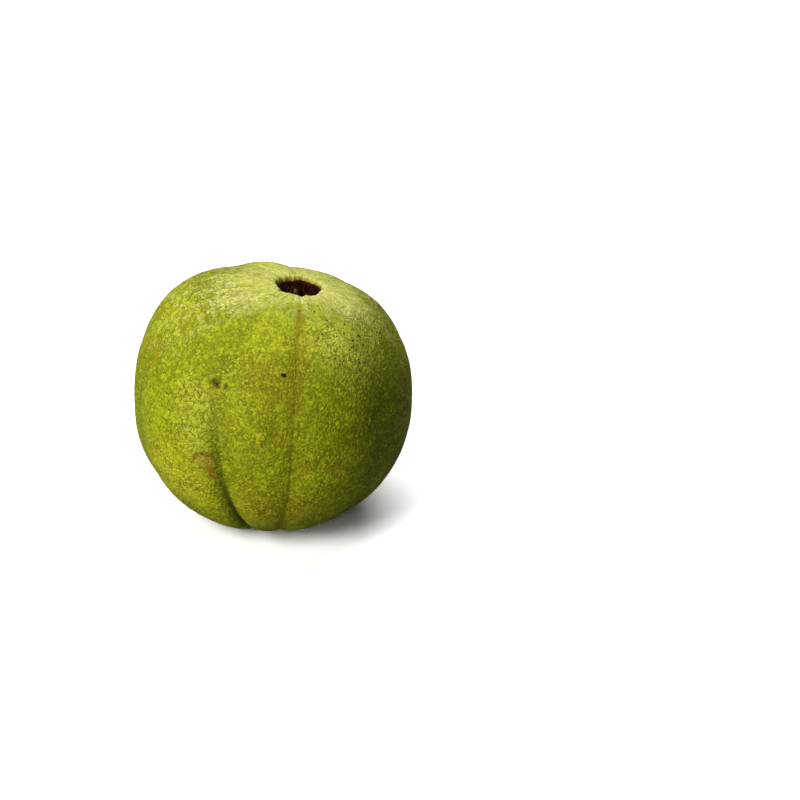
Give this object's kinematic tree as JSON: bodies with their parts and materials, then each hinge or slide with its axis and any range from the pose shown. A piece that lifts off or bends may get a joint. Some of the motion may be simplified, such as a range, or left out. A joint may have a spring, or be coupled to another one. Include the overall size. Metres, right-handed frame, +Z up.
{
  "type": "guava",
  "caption": "Whole green guava with shallow lobes, a deep calyx pit with withered lobes and style, and a woody stalk stub under it.",
  "frame": {"origin": "on the ground, under the middle of the fruit's bounding box", "axes": "+X to the right across the front of the fruit, +Y to its back, +Z up through the crown; the front faces -Y"},
  "size_m": [0.0944, 0.0892, 0.0868],
  "materials": {
    "guava_skin": "matt green skin with a fine olive net, pores and corky specks",
    "dried_calyx": "withered, dark brown and matt",
    "withered_style": "withered, grey brown and matt",
    "woody_stem": "dry brown bark with a pale cut end"
  },
  "bodies": {
    "root": {"fruit": "guava_skin", "calyx": "dried_calyx", "style": "withered_style", "stem": "woody_stem"}
  },
  "joints": []
}
